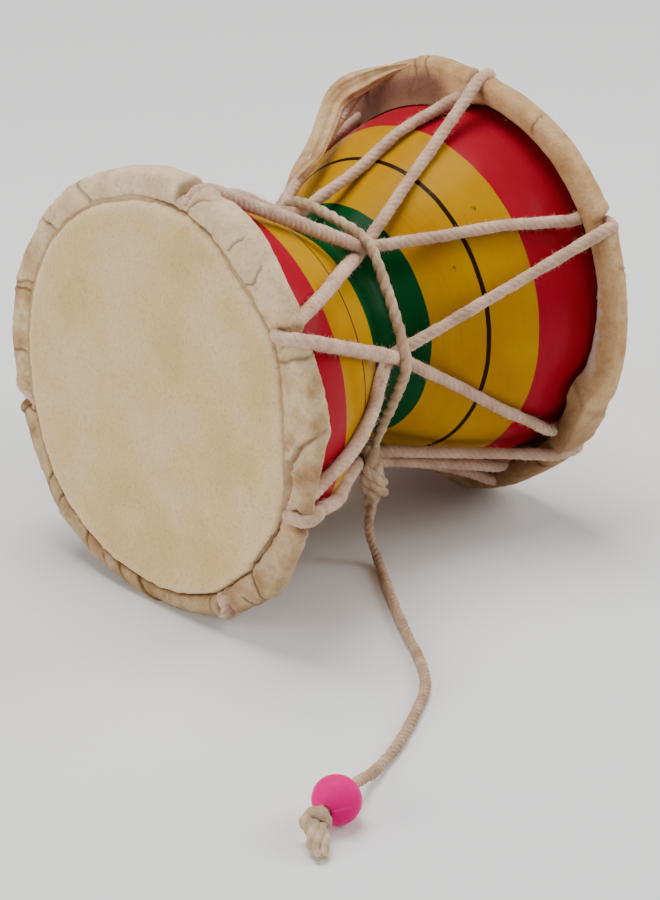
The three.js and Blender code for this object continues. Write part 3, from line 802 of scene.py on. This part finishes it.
# %% Marks on the paint
MARKS = [
    ((32.3, -29.6, 36.5), 1.5, "3a2c08"), ((26.1, -18.4, 40.0), 0.8, "5a4208"), ((20.6, -33.4, 22.8), 1.3, "6b4d0c"),
    ((53.0, -46.0, -26.9), 1.2, "4a0c10"), ((61.8, -14.0, 52.3), 1.6, "d8c0bc"), ((59.5, -53.2, 8.4), 1.0, "e0d0cc"),
    ((62.0, -52.5, -13.3), 1.2, "d8c4c0"), ((-52.0, -48.0, 12.0), 1.0, "e0d0cc"),
    ((-50.0, -46.5, -18.0), 1.2, "dcccc8"),
]
smear = add_node(PAINT, "TexNoise", {"Vector": paint_place, "Scale": per(0.7), "Detail": 3})
for spot, reach, colour in MARKS:
    away = add_node(PAINT, "VectorMath", {0: paint_place, 1: tuple(in_frame(spot))}, operation="DISTANCE")
    close = add_node(PAINT, "MapRange", {"Value": away, "From Max": reach / 1000, "To Min": 0.62, "To Max": 0.0})
    patchy = add_node(PAINT, "Math", {0: close, 1: smear}, operation="ADD")
    strength = add_node(PAINT, "MapRange", {"Value": patchy, "From Min": 0.78, "From Max": 0.95, "To Max": 0.8})
    painted = add_node(PAINT, "Mix", {0: strength, 6: painted, 7: linear(colour)}, data_type="RGBA")
set_inputs(paint_shader, {"Base Color": painted, "Normal": paint_bump})
shell.data.materials.append(PAINT)
print("material:", PAINT.name, "with", len(MARKS), "marks")

# %% [markdown]
# Inside, the wood is bare as the tool left it. Nobody sees it on a whole drum, but it is
# there when a head is taken off.

# %% Bare turned wood
BARE_WOOD, wood_shader, wood_place = new_material("bare_turned_wood", {"Roughness": 0.7})
grain_space = add_node(BARE_WOOD, "Mapping", {"Vector": wood_place, "Scale": (per(30), per(2.5), per(2.5))})
grain = add_node(BARE_WOOD, "TexNoise", {"Vector": grain_space, "Scale": 1.0, "Detail": 4})
grain_tone = add_node(BARE_WOOD, "ValToRGB", {"Fac": grain}, stops=[(0.35, "a9814f"), (0.65, "cfae7c")])
set_inputs(wood_shader, {"Base Color": grain_tone})
shell.data.materials.append(BARE_WOOD)
print("material:", BARE_WOOD.name)

# %% [markdown]
# The heads carry most of the handwork. A wet skin is laid over the end of the shell,
# wrapped round a hoop and left to shrink. The hide on the hoop keeps its laps and nicks.
# A lap is an edge, given by its angle at each way across the band in millimetres, then
# the side that lies on top, its rise and its reach. A nick is such a line and its depth.

# %% Laps, folds and nicks
HEADS["near"].update(
    laps=[
        ([(-1, 13), (3, 13.5), (6, 16), (9, 19), (13, 21), (18, 22)], 1, 0.9, 14),
        ([(-1, 64), (4, 64.5), (9, 65), (14, 64)], 1, 0.45, 8),
        ([(-1, 95), (3, 92), (6, 88), (9, 85), (14, 82)], -1, 1.6, 22),
        ([(-1, 154), (8, 156), (14, 157)], -1, 0.6, 10),
        ([(-1, 246), (4, 249), (9, 247), (14, 245)], 1, 0.45, 8),
        ([(-1, 291), (9, 285), (14, 283)], 1, 0.6, 12),
        ([(-1, 333), (9, 326), (14, 325)], -1, 0.6, 10),
        ([(-1, 222), (9, 219), (14, 217)], -1, 0.5, 8),
        ([(-1, 188), (9, 176), (14, 172)], 1, 0.6, 9),
        ([(-1, 135), (3, 134), (7, 136), (14, 138)], -1, 0.25, 6),
    ],
    nicks=[
        ([(0, 287), (9, 283)], 0.8), ([(0, 266), (9, 265)], 0.5), ([(1, 253), (9, 253)], 0.7),
        ([(2, 200), (10, 190)], 0.7), ([(1, 194), (8, 184)], 0.6), ([(4, 168), (10, 160)], 0.5),
        ([(5, 142), (12, 139)], 0.6), ([(0, 312), (8, 308)], 0.5), ([(0, 40), (5, 42), (10, 40)], 0.35),
        ([(3, 30), (10, 32)], 0.3), ([(0, 229), (6, 226)], 0.6), ([(0, 209), (7, 204)], 0.6),
    ],
    seed=3, rough=1.2, steps=830, skirt=[(0, 0)],
    # This table gives how wide the painted shade in the groove is at each angle.
    gap=[(0, 0.55), (88, 0.5), (94, 1.1), (107, 1.1), (110, 0.5), (145, 0.8), (200, 0.7), (330, 0.5)],
)
ROLLED_END = (0.6, 1.1)
HEADS["far"].update(
    laps=[
        ([(7, 115.5), (11, 114.6), (15, 113.4), (20, 111), (25, 107), (31, 102)], 1, 0.25, 30, *ROLLED_END),
        ([(8, 339), (14, 343), (20, 344), (26, 341)], 1, 0.5, 14),
        ([(0, 180), (28, 190)], 1, 0.6, 12), ([(0, 235), (28, 240)], -1, 0.6, 12),
        ([(0, 290), (28, 285)], 1, 0.6, 12),
    ],
    nicks=[
        ([(12, 27), (20, 29)], 0.3), ([(14, 347), (22, 349)], 0.35), ([(14, 133), (24, 138)], 0.4),
        ([(2, 160), (12, 165)], 0.5), ([(2, 215), (12, 210)], 0.5), ([(2, 75), (12, 72)], 0.5),
    ],
    seed=9, rough=0.5, steps=640,
    skirt=[(0, 1.8), (9, 0), (76, 0), (85, 0.6), (104, 1.4), (112, 0), (180, 0), (285, 0), (298, 3), (320, 4),
           (345, 3.6), (354, 3)],
    # This table gives how wide the painted shade in the groove is at each angle.
    gap=[(0, 0.6)],
)
print("near head:", len(HEADS["near"]["laps"]), "laps and", len(HEADS["near"]["nicks"]), "nicks")

# %% [markdown]
# A head is a profile swept round the axis: the flat playing skin with its soft edge, the
# groove, the round of the hoop, and the skirt of hide behind it. The control points of
# the profile move with the angle.

# %% Profile of a head
HIDE_BACK = 63.0


def head_profile(head, degrees):
    """Control points of the profile at each angle: radius and distance from the waist."""
    rim = round_drum(60.0, 0, degrees)
    groove = round_table(head["groove"], degrees) + 0.35 * soft_noise(rim, 3.5, head["seed"] + 21)
    groove += 0.25 * soft_noise(rim, 1.4, head["seed"] + 22)
    outer = HOOP_OUTSIDE + round_table(head["sway"], degrees)
    back = HOOP_FACE - round_table(head["depth"], degrees)
    inner = np.maximum(groove + 1.0, outer - 6.8)
    skirt = round_table(head["skirt"], degrees)
    hung = np.clip(skirt / 2.5, 0, 1)
    lift = 0.5 * step_up(0, 1, (groove + 2 - outer + 9) / 9)
    flat = np.zeros_like(groove)
    middle = (HOOP_FACE + back) / 2
    points = [
        (groove - 4.5, flat + HALF_LENGTH), (groove - 2.2, flat + 64.12), (groove - 0.8, flat + 63.5),
        (groove - 0.25, flat + 62.4), (groove, flat + 60.6), (groove + 0.35, flat + 61.2),
        (groove + 0.9, flat + 62.3 + lift), (groove + 2.0, flat + 62.75 + lift),
        ((groove + outer) / 2 + 0.6, flat + 62.6 + lift * 0.6), (outer - 1.3, flat + 62.0),
        (outer - 0.3, flat + 60.7), (outer, middle), (outer - 0.3, back + 1.3), (outer - 1.5, back + 0.2),
        (outer - 3.4, back), ((inner + 0.9) * (1 - hung) + 56.4 * hung, back + 0.5 - skirt * 0.6),
        (inner * (1 - hung) + 53.5 * hung, back + 2.0 - 1.5 * skirt),
        (np.maximum(inner - 1.2, 55.6) * (1 - hung) + 53.8 * hung, 58.8 - 1.5 * skirt), (flat + 55.0, flat + 60.6),
        (flat + 54.6, flat + 62.4), (flat + 52, flat + HIDE_BACK),
    ]
    return np.array([np.stack(point, axis=-1) for point in points])


def smooth_rows(control, parts):
    """Rows on a smooth curve through the control rows, for every angle at once."""
    padded = np.concatenate([2 * control[:1] - control[1:2], control, 2 * control[-1:] - control[-2:-1]])
    rows = []
    for i, count in enumerate(parts):
        p0, p1, p2, p3 = padded[i:i + 4]
        for t in np.linspace(0, 1, count, endpoint=False):
            rows.append(0.5 * (2 * p1 + (p2 - p0) * t + (2 * p0 - 5 * p1 + 4 * p2 - p3) * t**2
                               + (3 * p1 - p0 - 3 * p2 + p3) * t**3))
    rows.append(control[-1])
    return np.array(rows)


HOOP_PARTS = [3, 3, 3, 3, 3, 3, 6, 9, 8, 5, 5, 5, 4, 5, 5, 4, 5, 4, 3, 2]
print("a hoop has", sum(HOOP_PARTS), "rows")

# %% [markdown]
# Over that profile goes the relief of the hide: lumps and creases, a step at each lap, a furrow at each nick and a
# dent under each rope. The same lines carry painted shade along the laps, the nicks and both sides of each rope
# dent, and dirt with painted shade in patches along the creases.

# %% Relief of the hide
ARC = math.pi / 180 * 60


def arc_from(line, arc):
    return np.mod(arc - line + 180 * ARC, 360 * ARC) - 180 * ARC


def hide_relief(head, degrees, band, places):
    """How far the hide stands out, and how much dirt and painted shade it gets, at each angle and way across the
    band.
    """
    arc, seed = degrees * ARC, head["seed"]
    rise = 0.32 * soft_noise(places, 11, seed) + 0.16 * soft_noise(places, 4, seed + 1)
    rise += 0.12 * soft_noise(places, 1.7, seed + 2)
    slack = step_up(-0.3, 0.5, soft_noise(places, 16, seed + 4))
    wrinkle = soft_noise(np.stack([arc / 1.6, band / 6, arc * 0], axis=-1), 1.0, seed + 3)
    crease = np.exp(-(wrinkle / 0.12) ** 2) * slack
    rise = head["rough"] * (rise + 0.2 * wrinkle * slack - 0.22 * crease)
    # Dirt and painted shade in patches along the creases.
    dirt_and_painted_shade = 0.6 * head["rough"] * crease * step_up(0, 0.4, soft_noise(places, 5, seed + 5))
    across = np.stack([band, arc * 0, arc * 0], axis=-1)
    lap_waver, nick_waver = 0.4 * soft_noise(across, 3.0, seed + 6), 0.5 * soft_noise(across, 1.3, seed + 7)
    for edge, over, step, reach, *rolled in head["laps"]:
        hollow, soft = rolled or (0, 0.55)
        ways, angles = zip(*edge)
        ahead = arc_from(np.interp(band, ways, angles) * ARC + lap_waver, arc) * over
        inside = between(ways[0] - 1, ways[0] + 0.5, ways[-1] - 0.5, ways[-1] + 1.5, band)
        sunk = hollow * inside * np.exp(-((ahead + 3.4) / 2.6) ** 2)
        rise += inside * step * step_up(-0.4, 0.8, ahead) * np.exp(-np.maximum(ahead, 0) / reach)
        rise -= inside * 0.3 * step * np.exp(-((ahead + 0.6) / 0.6) ** 2) + sunk
        # Painted shade: a dark line under the edge of each lap, and in the hollow behind a rolled end.
        dirt_and_painted_shade += inside * 0.5 / soft * np.exp(-((ahead + 0.25) / soft) ** 2) + 0.15 * sunk
    for edge, deep in head["nicks"]:
        ways, angles = zip(*edge)
        apart = arc_from(np.interp(band, ways, angles) * ARC + nick_waver, arc)
        inside = between(ways[0] - 0.5, ways[0] + 0.5, ways[-1] - 0.5, ways[-1] + 0.5, band)
        rise -= inside * deep * np.exp(-(apart / 0.32) ** 2)
        rise += inside * deep * 0.35 * np.exp(-((np.abs(apart) - 0.9) / 0.5) ** 2)
        # Painted shade down the middle of each nick.
        dirt_and_painted_shade += inside * 0.9 * np.exp(-(apart / 0.38) ** 2)
    clear = between(1.2, 4.5, 15, 19, band)
    for angle, press in zip(head["loops"], head["press"]):
        line = (angle + np.interp(band, [0, 9, 20], [-LOOP_SPREAD * 0.7, 0.3, LOOP_SPREAD])) * ARC
        apart = arc_from(line, arc)
        if press > 4:
            rise += 0.5 * clear * np.exp(-(apart / 3) ** 2)
            continue
        rise -= clear * (0.3 + 0.75 * press) * np.exp(-(apart / 2.1) ** 4)
        rise += clear * 0.4 * np.exp(-((np.abs(apart) - 3.6) / 1.5) ** 2)
        # Painted shade along both sides of each rope dent.
        dirt_and_painted_shade += clear * 0.45 * np.exp(-((np.abs(apart) - 2.1) / 0.6) ** 2)
    return rise, dirt_and_painted_shade


print("relief ready")

# %% [markdown]
# A head is then built row by row, from the middle of the playing skin out over the hoop and back under it. Marks for
# the material travel with the points: dirt and painted shade, the hoop, the pale edge with painted light on the top
# of the near hoop, and on the far head the tan, the mauve and the scraped pale places.

# %% Heads of hide
def head_piece(name, head):
    steps = head["steps"]
    degrees = np.linspace(0, 360, steps, endpoint=False)
    hoop = smooth_rows(head_profile(head, degrees), HOOP_PARTS)
    face_rows = [np.stack([hoop[0, :, 0] * share, np.full(steps, HALF_LENGTH)], axis=-1)
                 for share in np.linspace(0, 1, 16, endpoint=False)[1:]]
    lining_rows = [np.stack([hoop[-1, :, 0] * share, np.full(steps, HIDE_BACK)], axis=-1)
                   for share in np.linspace(1, 0, 6, endpoint=False)[1:]]
    profile = np.concatenate([face_rows, hoop, lining_rows])
    rows = round_drum(profile[..., 0], head["side"] * profile[..., 1], degrees[None, :])
    ahead = np.roll(rows, -1, axis=1) - np.roll(rows, 1, axis=1)
    out = np.cross(np.gradient(rows, axis=0), ahead) * head["side"]
    out /= np.linalg.norm(out, axis=-1)[..., None] + 1e-12
    walked = np.cumsum(np.linalg.norm(np.diff(profile, axis=0, prepend=profile[:1]), axis=-1), axis=0)
    band = walked - walked[len(face_rows) + sum(HOOP_PARTS[:5])]
    turned = np.broadcast_to(degrees, band.shape)
    on_hoop = between(0.2, 1.4, 26, 30, band)
    rise, dirt_and_painted_shade = hide_relief(head, turned, band, rows)
    face = (1 - step_up(-4, -0.5, band)) * (band < 0)
    dents = 0.16 * soft_noise(rows, 24, head["seed"] + 11) + 0.05 * soft_noise(rows, 7, head["seed"] + 12)
    rows = rows + out * (on_hoop * rise + face * dents)[..., None]
    apart = np.hypot(rows[..., 1], rows[..., 2])
    wall = round_table(head["groove"], degrees) + 0.15 * step_up(0, 2, band)
    kept = np.where((band > 0.2) & (band < 14), np.maximum(apart, wall), apart) / np.maximum(apart, 1e-6)
    rows[..., 1:] *= kept[..., None]
    near_hoop, far_hoop = (1 - head["tan"]) * on_hoop, head["tan"]
    # Painted light and shade on the near hoop: its top is made paler and its underside darker.
    high, low = (step_up(start, 58, way * rows[..., 2]) * near_hoop for start, way in ((15, 1), (-25, -1)))
    stain = far_hoop * between(108, 122, 158, 172, turned) * step_up(6, 14, band)
    # Painted shade in the groove beside the playing skin, wider where the gap is deep, and behind the hoop.
    painted_groove_and_back_shade = np.exp(-((band - 0.2) / round_table(head["gap"], degrees)) ** 2) + 0.5 * step_up(20, 26, band)
    scraped = step_up(19, 21.5, band + soft_noise(rows, 2.5, head["seed"] + 8))
    placed = leaned(rows, head)
    placed[..., 2] = np.maximum(placed[..., 2], 0.02 - DRUM_SHIFT[2])
    # The first mark below holds dirt and painted shade, and the edge mark holds the pale edge of the skin with
    # painted light on the top of the near hoop.
    return rows_to_mesh(name, placed, marks={
        "dirt_and_painted_shade": np.clip(on_hoop * (dirt_and_painted_shade + 0.55 * stain) + 0.42 * low + painted_groove_and_back_shade, 0, 1.2),
        "hoop": on_hoop,
        "edge": np.exp(-((band + 3.2) / 2.6) ** 2) + 1.1 * high,
        "tan": far_hoop * on_hoop,
        "mauve": far_hoop * step_up(17.5, 22, band) * between(292, 302, 352, 359, turned),
        "pale": far_hoop * between(70, 84, 98, 105, turned) * scraped,
    })


near_head = head_piece("near_head_hide", HEADS["near"])
far_head = head_piece("far_head_hide", HEADS["far"])
declare(near_head, "raw_hide", "near_head")
declare(far_head, "raw_hide", "far_head")
print("heads:", len(near_head.data.polygons), "and", len(far_head.data.polygons), "faces")

# %% [markdown]
# At the upper left of the far head a tongue of hide was left long. It hangs from the hoop
# down along two lengths of rope and has dried onto them. It is given by its two edges,
# and the ropes show through it as two low ridges.

# %% Tongue of hide
TONGUE = [
    (57, 65.8, 341.0, 64.4, 343.0), (57, 66.4, 333.5, 63.0, 336.5), (56, 67.4, 327.0, 61.6, 330.0),
    (54, 68.4, 322.0, 60.6, 325.3), (51, 67.8, 319.0, 60.2, 322.8), (47, 65.6, 318.0, 58.8, 322.2),
    (41, 61.0, 318.7, 55.0, 324.8), (33, 54.9, 320.3, 50.2, 327.9), (25, 49.6, 320.5, 45.5, 329.8),
    (17, 45.5, 321.9, 43.0, 329.0), (11, 42.2, 323.6, 40.4, 326.8),
]
TO_VIEWER = -np.array(CAMERA_LOOK)
stations, left_radius, left_angle, right_radius, right_angle = np.array(TONGUE).T
down_tongue = np.linspace(0, 1, 110)


def tongue_edge(radius, angle):
    edge, _ = even_steps(round_drum(radius, stations, angle), 0.6)
    share = np.linspace(0, 1, len(edge))
    return np.stack([np.interp(down_tongue, share, edge[:, axis]) for axis in range(3)], axis=1)[:, None]


left_edge, right_edge = tongue_edge(left_radius, left_angle), tongue_edge(right_radius, right_angle)
tongue_turn = np.linspace(0, 2 * math.pi, 64, endpoint=False)
across, height = np.cos(tongue_turn), np.sin(tongue_turn)
ridges = np.exp(-((across - 0.66) / 0.24) ** 2) + np.exp(-((across + 0.6) / 0.26) ** 2)
thick = 0.7 + 0.5 * height * (1 - across**2) ** 0.2 + 1.5 * ridges * np.maximum(height, 0) ** 0.5
tongue_rows = ((left_edge + right_edge) / 2 + (left_edge - right_edge) / 2 * across[:, None]
               + TO_VIEWER * (thick * height)[:, None])
crumple = 0.5 * soft_noise(tongue_rows, 6, 31) + 0.3 * soft_noise(tongue_rows, 2.4, 32)
cover = np.interp(down_tongue, [0, 0.06, 0.12, 0.2, 0.32, 0.9, 1], [-3, -2.2, -0.6, 2, 5, 5.6, 3])[:, None]
slide = np.interp(down_tongue, [0, 0.3, 0.6, 0.85, 1], [0, 0.3, 1.0, 0.8, -0.4])[:, None, None]
tongue_rows += TO_VIEWER * (crumple * (0.3 + 0.7 * np.maximum(height, 0)) + cover)[..., None] - VIEW_RIGHT * slide
# Painted shade in the hollows of the crumples and along the valley between the two ridges.
tongue_painted_shade = step_up(0.2, 0.6, -crumple) * 0.7 + 0.5 * np.exp(-(across / 0.2) ** 2) * (height > 0)
tongue = rows_to_mesh("hide_tongue", tongue_rows, marks={
    "dirt_and_painted_shade": tongue_painted_shade, "hoop": 1, "tan": 0.5, "edge": 0, "mauve": 0, "pale": 0})
join_onto(far_head, [tongue])
print("far head with its tongue:", len(far_head.data.polygons), "faces")

# %% [markdown]
# Rawhide is skin that is limed, scraped and dried, not tanned. It is cream with warm clouds, paler where it was
# scraped thin and mauve where it stayed thick on the hoop. Dirt and painted shade turn it brown in its creases,
# laps, nicks and groove, and painted light makes the top of the near hoop paler. Its surface is matt, with a very
# fine grain.

# %% Dried rawhide
HIDE, hide_shader, hide_place = new_material("scraped_dried_rawhide", {"Roughness": 0.7, "Specular IOR Level": 0.15})
hoop_mark, pale_edge_and_painted_light_mark, dirt_and_painted_shade_mark = (
    add_node(HIDE, "Attribute", attribute_name=mark).outputs["Fac"] for mark in ("hoop", "edge", "dirt_and_painted_shade"))
hide_cloud = add_node(HIDE, "TexNoise", {"Vector": hide_place, "Scale": per(20.0), "Detail": 4, "Roughness": 0.55})
hide_face = add_node(HIDE, "ValToRGB", {"Fac": hide_cloud}, stops=[
    (0.32, "d0ae76"), (0.5, "d6b684"), (0.68, "dcc094")])
hide_patch = add_node(HIDE, "TexNoise", {"Vector": hide_place, "Scale": per(8.0), "Detail": 7})
hide_wrap = add_node(HIDE, "ValToRGB", {"Fac": hide_patch}, stops=[
    (0.3, "a5805a"), (0.45, "c2a077"), (0.58, "d6ba90"), (0.72, "bc9a80")])
hide_both = add_node(HIDE, "Mix", {0: hoop_mark, 6: hide_face, 7: hide_wrap}, data_type="RGBA")
# The pale edge of the playing skin, with painted light on the top of the near hoop.
pale_edge_and_painted_light_share = add_node(HIDE, "Math", {0: pale_edge_and_painted_light_mark, 1: 0.35}, operation="MULTIPLY")
hide_toned = add_node(HIDE, "Mix", {0: pale_edge_and_painted_light_share, 6: hide_both, 7: linear("f2dcba")}, data_type="RGBA")
for mark, colour, strength in [("tan", "b88a58", 0.55), ("mauve", "6e3f3c", 0.85), ("pale", "d9c6c0", 0.8)]:
    where = add_node(HIDE, "Attribute", attribute_name=mark).outputs["Fac"]
    much = add_node(HIDE, "Math", {0: where, 1: strength}, operation="MULTIPLY")
    hide_toned = add_node(HIDE, "Mix", {0: much, 6: hide_toned, 7: linear(colour)}, data_type="RGBA")
hide_grain = add_node(HIDE, "TexNoise", {"Vector": hide_place, "Scale": per(0.9), "Detail": 3})
grain_dark = add_node(HIDE, "MapRange", {"Value": hide_grain, "From Min": 0.5, "From Max": 0.72, "To Max": 0.45})
hide_speck = add_node(HIDE, "Mix", {0: grain_dark, 6: hide_toned, 7: linear("d6c8a8")},
                      data_type="RGBA", blend_type="MULTIPLY")
# Dirt and painted shade: creases, laps, nicks, rope dents, the groove, the back of the hoop and the underside of the
# near hoop go towards brown, as does a stain on the lower front of the far hoop.
dirt_and_painted_shade_share = add_node(HIDE, "Math", {0: dirt_and_painted_shade_mark, 1: 0.8}, operation="MULTIPLY", use_clamp=True)
hide_with_dirt_and_painted_shade = add_node(HIDE, "Mix", {0: dirt_and_painted_shade_share, 6: hide_speck, 7: linear("5e4124")}, data_type="RGBA")
# The dark in the groove is painted shade.
print("hide colours run from the playing skin to the dirt in the groove")

# %% [markdown]
# Three bumps lie over one another: a fine grain everywhere, creases on the hoop only,
# and low lumps where the skin dried unevenly.

# %% Grain of the hide
hide_bump = add_node(HIDE, "Bump", {"Height": hide_grain, "Strength": 0.5, "Distance": 0.0003})
hide_creases = add_node(HIDE, "TexNoise", {"Vector": hide_place, "Scale": per(2.4), "Detail": 5, "Distortion": 0.6})
crease_share = add_node(HIDE, "Math", {0: hoop_mark, 1: 0.55}, operation="MULTIPLY")
hide_worn = add_node(HIDE, "Bump", {
    "Height": hide_creases, "Strength": crease_share, "Distance": 0.0007, "Normal": hide_bump})
hide_lumps = add_node(HIDE, "Bump", {"Height": hide_patch, "Strength": 0.3, "Distance": 0.0009, "Normal": hide_worn})
set_inputs(hide_shader, {"Base Color": hide_with_dirt_and_painted_shade, "Normal": hide_lumps})
for piece in (near_head, far_head):
    piece.data.materials.append(HIDE)
print("material:", HIDE.name)

# %% [markdown]
# The floor is a plain pale sheet. The main light hangs above the drum. One low light
# behind the left side reaches the playing skin alone, one on the right fills the near
# half, and a weak one in front softens the shadows, as in a product photograph.

# %% Floor and lights
floor = new_piece("floor", np.array([(-6, -6, 0), (6, -6, 0), (6, 6, 0), (-6, 6, 0)]), [(0, 1, 2, 3)])
FLOOR, floor_shader, floor_place = new_material("pale_paper_floor", {"Roughness": 0.9})
paper = add_node(FLOOR, "TexNoise", {"Vector": floor_place, "Scale": per(300)})
paper_tone = add_node(FLOOR, "ValToRGB", {"Fac": paper}, stops=[(0, "ebebe9"), (1, "eeeeed")])
set_inputs(floor_shader, {"Base Color": paper_tone})
floor.data.materials.append(FLOOR)
world = bpy.data.worlds.new("studio")
world.use_nodes = True
set_inputs(world.node_tree.nodes["Background"], {"Color": (1, 1, 1, 1), "Strength": 0.18})
bpy.context.scene.world = world
for name, place, size, power in [
    ("top_light", (0.0, 0.25, 1.3), 0.8, 18.5),
    ("left_light", (-1.1, 0.35, 0.45), 0.8, 9.5),
    ("right_light", (0.9, -0.6, 0.7), 0.8, 10),
    ("front_light", (0.1, -0.9, 0.6), 0.8, 1.6),
]:
    panel = bpy.data.lights.new(name, "AREA")
    panel.size = size
    panel.energy = power
    lamp = bpy.data.objects.new(name, panel)
    lamp.location = place
    lamp.rotation_euler = (Vector((0, 0, 0.06)) - Vector(place)).to_track_quat("-Z", "Y").to_euler()
    bpy.context.scene.collection.objects.link(lamp)

# %% [markdown]

# %% The end
print("the end")
